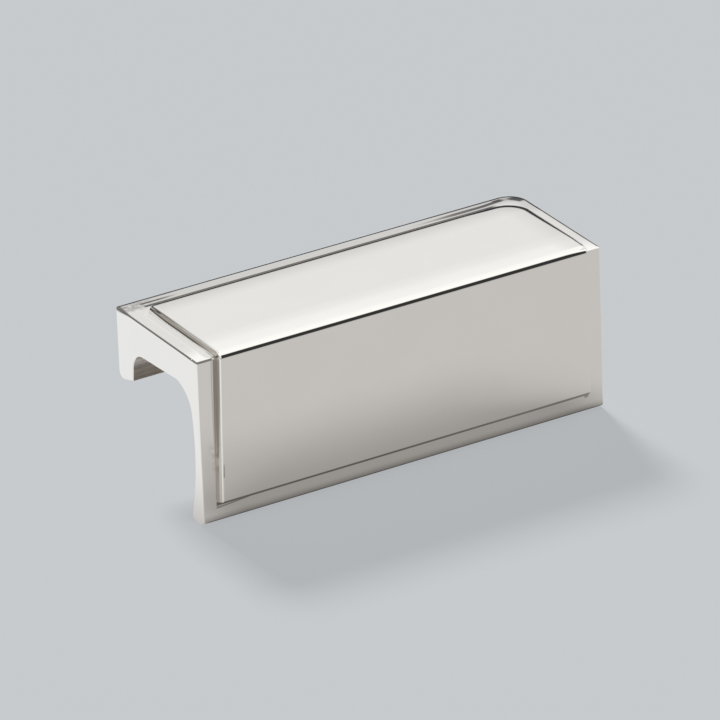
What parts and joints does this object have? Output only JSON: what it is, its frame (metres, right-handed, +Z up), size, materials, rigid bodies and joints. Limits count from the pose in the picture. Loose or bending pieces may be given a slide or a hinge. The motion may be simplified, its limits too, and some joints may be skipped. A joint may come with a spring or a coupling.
{
  "type": "cabinet handle",
  "caption": "Cast pull for a drawer or cabinet door: a short channel with a raised, bordered panel over its top and front, a bowed finger plate and a flat back leg for screws.",
  "frame": {"origin": "centre of the flat back face, which sits against the drawer or door", "axes": "+X along the pull, +Y out of the back face and into the drawer, +Z up; the front of the pull faces -Y"},
  "size_m": [0.0762, 0.0272, 0.0307],
  "materials": {
    "nickel": "polished nickel plate over cast brass"
  },
  "bodies": {
    "root": {"handle_body": "nickel"}
  },
  "joints": []
}
